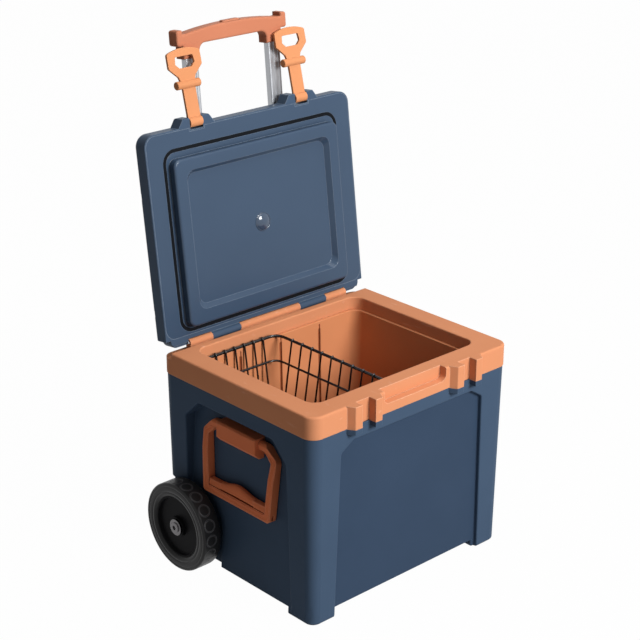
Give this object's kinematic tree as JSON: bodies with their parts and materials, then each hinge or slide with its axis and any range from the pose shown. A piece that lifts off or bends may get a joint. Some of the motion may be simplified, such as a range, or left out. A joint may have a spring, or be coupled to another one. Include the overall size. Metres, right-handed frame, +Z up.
{
  "type": "wheeled cooler",
  "caption": "Navy hard cooler with an orange rim, an open hinged lid with pull latches, swinging side handles, wheels, a telescoping pulling handle and a wire basket.",
  "frame": {"origin": "centre of the outer box on the floor, with the lid open and the pulling handle out", "axes": "X to the right seen from the front, Y to the back, Z up"},
  "size_m": [0.6068, 0.5514, 1.016],
  "materials": {
    "navy_shell": "fine moulded texture",
    "navy_lid": "fine moulded texture",
    "orange_shell": "fine moulded texture",
    "orange_handle": "satin",
    "orange_grip": "soft matte",
    "orange_rubber": "matte",
    "black_rubber": "matte",
    "tyre": "matte",
    "black_plastic": "satin",
    "foam": "rigid foam",
    "steel": "bright",
    "aluminium": "anodised",
    "black_wire": "gloss coat"
  },
  "bodies": {
    "body": {"axle_bolt_left": "steel", "axle_bolt_right": "steel", "bracket_screws": "steel", "drain_fitting": "orange_shell", "guide_bush_left": "black_plastic", "guide_bush_right": "black_plastic", "guide_tube_left": "aluminium", "guide_tube_right": "aluminium", "handle_cover_left": "orange_handle", "handle_cover_right": "orange_handle", "handle_pin_left": "steel", "handle_pin_right": "steel", "hinge_pin": "steel", "insulation_foam": "foam", "lower_rail_bracket": "black_plastic", "mount_screws": "steel", "outer_shell": "navy_shell", "rim_collar": "orange_shell", "stub_axle_left": "steel", "stub_axle_right": "steel", "tub_liner": "orange_shell", "upper_rail_bracket": "black_plastic", "wheel_mount_left": "black_plastic", "wheel_mount_right": "black_plastic"},
    "lid": {"latch_pins": "steel", "lid_foam": "foam", "lid_gasket": "black_rubber", "lid_liner": "navy_lid", "lid_port_cap": "navy_lid", "lid_shell": "navy_lid"},
    "latch_l": {"latch_left": "orange_rubber"},
    "latch_r": {"latch_right": "orange_rubber"},
    "handle_l": {"handle_frame_left": "orange_handle", "handle_grip_left": "orange_grip"},
    "handle_r": {"handle_frame_right": "orange_handle", "handle_grip_right": "orange_grip"},
    "wheel_l": {"tyre_left": "tyre", "wheel_hub_left": "black_plastic", "wheel_bush_left": "black_plastic"},
    "wheel_r": {"tyre_right": "tyre", "wheel_hub_right": "black_plastic", "wheel_bush_right": "black_plastic"},
    "mid_stage": {"mid_tube_left": "aluminium", "mid_tube_right": "aluminium", "mid_bush_left": "black_plastic", "mid_bush_right": "black_plastic"},
    "top_stage": {"top_tube_left": "aluminium", "top_tube_right": "aluminium", "trolley_grip": "orange_handle"},
    "button": {"release_button": "black_plastic", "release_rod_left": "steel", "release_rod_right": "steel"},
    "basket": {"basket_back_side": "black_wire", "basket_floor": "black_wire", "basket_front_side": "black_wire", "basket_left_side": "black_wire", "basket_right_side": "black_wire"},
    "drain": {"drain_plug": "orange_shell", "drain_seal": "black_rubber"}
  },
  "joints": [
    {"name": "lid_hinge", "type": "hinge", "parent": "body", "child": "lid", "pos_m": [0, 0.1515, 0.4326], "axis": [1, 0, 0], "range_deg": [0, 97.1]},
    {"name": "latch_left_hinge", "type": "hinge", "parent": "lid", "child": "latch_l", "pos_m": [-0.133, 0.20773, 0.84844], "axis": [1, 0, 0], "range_deg": [0, 97]},
    {"name": "handle_left_hinge", "type": "hinge", "parent": "body", "child": "handle_l", "pos_m": [-0.2405, -0.0455, 0.32], "axis": [0, 1, 0], "range_deg": [0, 95]},
    {"name": "wheel_left_spin", "type": "hinge", "parent": "body", "child": "wheel_l", "pos_m": [-0.258, 0.0885, 0.09], "axis": [1, 0, 0], "continuous": true},
    {"name": "latch_right_hinge", "type": "hinge", "parent": "lid", "child": "latch_r", "pos_m": [0.133, 0.20773, 0.84844], "axis": [1, 0, 0], "range_deg": [0, 97]},
    {"name": "handle_right_hinge", "type": "hinge", "parent": "body", "child": "handle_r", "pos_m": [0.2405, -0.0455, 0.32], "axis": [0, -1, 0], "range_deg": [0, 95]},
    {"name": "wheel_right_spin", "type": "hinge", "parent": "body", "child": "wheel_r", "pos_m": [0.258, 0.0885, 0.09], "axis": [1, 0, 0], "continuous": true},
    {"name": "mid_stage_slide", "type": "slide", "parent": "body", "child": "mid_stage", "axis": [0, 0.0901, 0.9959], "range_m": [-0.26, 0]},
    {"name": "top_stage_slide", "type": "slide", "parent": "mid_stage", "child": "top_stage", "axis": [0, 0.0901, 0.9959], "range_m": [-0.247, 0]},
    {"name": "button_slide", "type": "slide", "parent": "top_stage", "child": "button", "axis": [0, -0.0901, -0.9959], "range_m": [0, 0.004], "stiffness_N_per_m": 1200, "springref_m": -0.004},
    {"name": "basket_lift", "type": "slide", "parent": "body", "child": "basket", "axis": [0, 0, -1], "range_m": [-0.2, 0]},
    {"name": "drain_turn", "type": "hinge", "parent": "body", "child": "drain", "pos_m": [0, 0.1635, 0.058], "axis": [0, 1, 0], "range_deg": [0, 90]}
  ]
}
